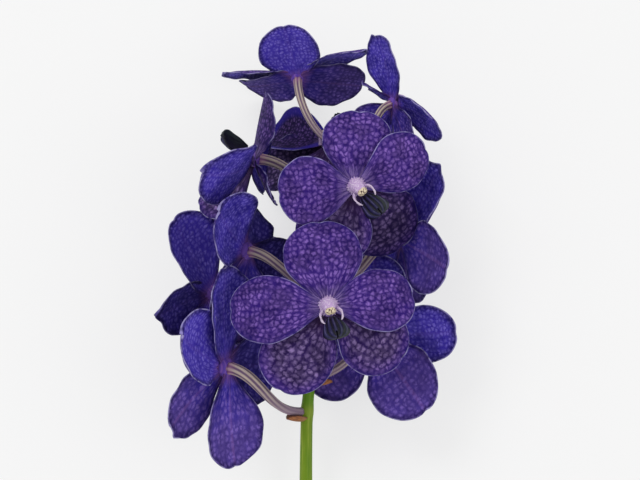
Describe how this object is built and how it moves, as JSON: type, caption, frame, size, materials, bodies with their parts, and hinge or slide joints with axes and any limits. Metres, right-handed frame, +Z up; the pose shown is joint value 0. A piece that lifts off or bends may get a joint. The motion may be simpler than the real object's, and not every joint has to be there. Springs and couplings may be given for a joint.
{
  "type": "cut vanda orchid",
  "caption": "Cut orchid spray lying down, with wide flat violet-blue blooms on ribbed stalklets up one green flower stalk.",
  "frame": {"origin": "on the surface that the spray lies on, under the middle of its bounding box", "axes": "+Y from the cut end towards the top bloom, +X to the right as seen from above, +Z up"},
  "size_m": [0.1427, 0.336, 0.1066],
  "materials": {
    "petal": "soft matte petal with a slight sheen",
    "column": "waxy, pale lilac",
    "lip": "waxy, near black",
    "stalklet": "fresh plant skin, striped",
    "stalk": "fresh plant skin, satin"
  },
  "bodies": {
    "root": {"bloom_01_tepals": "petal", "bloom_01_column": "column", "bloom_01_lip": "lip", "bloom_01_stalklet": "stalklet", "bloom_02_tepals": "petal", "bloom_02_column": "column", "bloom_02_lip": "lip", "bloom_02_stalklet": "stalklet", "bloom_03_tepals": "petal", "bloom_03_column": "column", "bloom_03_lip": "lip", "bloom_03_stalklet": "stalklet", "bloom_04_tepals": "petal", "bloom_04_column": "column", "bloom_04_lip": "lip", "bloom_04_stalklet": "stalklet", "bloom_05_tepals": "petal", "bloom_05_column": "column", "bloom_05_lip": "lip", "bloom_05_stalklet": "stalklet", "bloom_06_tepals": "petal", "bloom_06_column": "column", "bloom_06_lip": "lip", "bloom_06_stalklet": "stalklet", "bloom_07_tepals": "petal", "bloom_07_column": "column", "bloom_07_lip": "lip", "bloom_07_stalklet": "stalklet", "bloom_08_tepals": "petal", "bloom_08_column": "column", "bloom_08_lip": "lip", "bloom_08_stalklet": "stalklet", "bloom_09_tepals": "petal", "bloom_09_column": "column", "bloom_09_lip": "lip", "bloom_09_stalklet": "stalklet", "bloom_10_tepals": "petal", "bloom_10_column": "column", "bloom_10_lip": "lip", "bloom_10_stalklet": "stalklet", "bloom_11_tepals": "petal", "bloom_11_column": "column", "bloom_11_lip": "lip", "bloom_11_stalklet": "stalklet", "flower_stalk": "stalk"}
  },
  "joints": []
}
